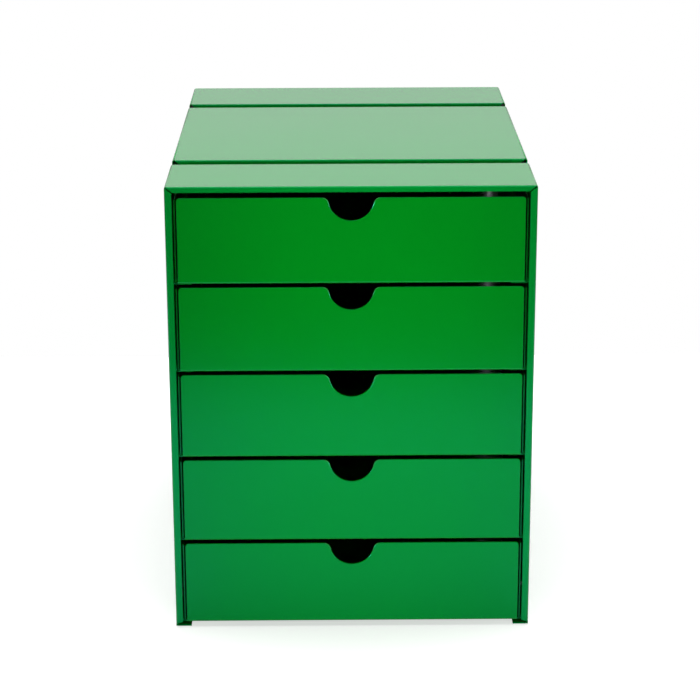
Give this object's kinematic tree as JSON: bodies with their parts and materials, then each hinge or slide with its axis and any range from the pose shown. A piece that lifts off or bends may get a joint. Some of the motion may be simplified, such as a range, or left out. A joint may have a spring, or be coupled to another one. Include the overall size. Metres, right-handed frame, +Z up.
{
  "type": "drawer cabinet",
  "caption": "Desk cabinet of folded sheet steel with full-width pull-out trays, half-round finger notches, and grooves pressed across its top and down its sides.",
  "frame": {"origin": "on the floor under the middle of the cabinet", "axes": "+Z up; the drawer fronts face -Y and open towards -Y; +X to the right as seen by someone looking along +Y at the drawer fronts"},
  "size_m": [0.275, 0.39, 0.3521],
  "materials": {
    "green_paint": "satin powder coat",
    "nylon": "plain natural nylon",
    "rubber": "matte"
  },
  "bodies": {
    "cabinet": {"outer_shell": "green_paint", "back_panel": "green_paint", "bottom_pan": "green_paint", "runner_left_1": "green_paint", "runner_left_2": "green_paint", "runner_left_3": "green_paint", "runner_left_4": "green_paint", "runner_right_1": "green_paint", "runner_right_2": "green_paint", "runner_right_3": "green_paint", "runner_right_4": "green_paint", "glide_left_1": "nylon", "glide_left_2": "nylon", "glide_left_3": "nylon", "glide_left_4": "nylon", "glide_left_5": "nylon", "glide_right_1": "nylon", "glide_right_2": "nylon", "glide_right_3": "nylon", "glide_right_4": "nylon", "glide_right_5": "nylon", "foot_front_left": "rubber", "foot_front_right": "rubber", "foot_rear_left": "rubber", "foot_rear_right": "rubber"},
    "drawer_1": {"drawer_1_tray": "green_paint", "drawer_1_buffers": "rubber"},
    "drawer_2": {"drawer_2_tray": "green_paint", "drawer_2_buffers": "rubber"},
    "drawer_3": {"drawer_3_tray": "green_paint", "drawer_3_buffers": "rubber"},
    "drawer_4": {"drawer_4_tray": "green_paint", "drawer_4_buffers": "rubber"},
    "drawer_5": {"drawer_5_tray": "green_paint", "drawer_5_buffers": "rubber"}
  },
  "joints": [
    {"name": "drawer_1_slide", "type": "slide", "parent": "cabinet", "child": "drawer_1", "axis": [0, -1, 0], "range_m": [0, 0.3]},
    {"name": "drawer_2_slide", "type": "slide", "parent": "cabinet", "child": "drawer_2", "axis": [0, -1, 0], "range_m": [0, 0.3]},
    {"name": "drawer_3_slide", "type": "slide", "parent": "cabinet", "child": "drawer_3", "axis": [0, -1, 0], "range_m": [0, 0.3]},
    {"name": "drawer_4_slide", "type": "slide", "parent": "cabinet", "child": "drawer_4", "axis": [0, -1, 0], "range_m": [0, 0.3]},
    {"name": "drawer_5_slide", "type": "slide", "parent": "cabinet", "child": "drawer_5", "axis": [0, -1, 0], "range_m": [0, 0.3]}
  ]
}
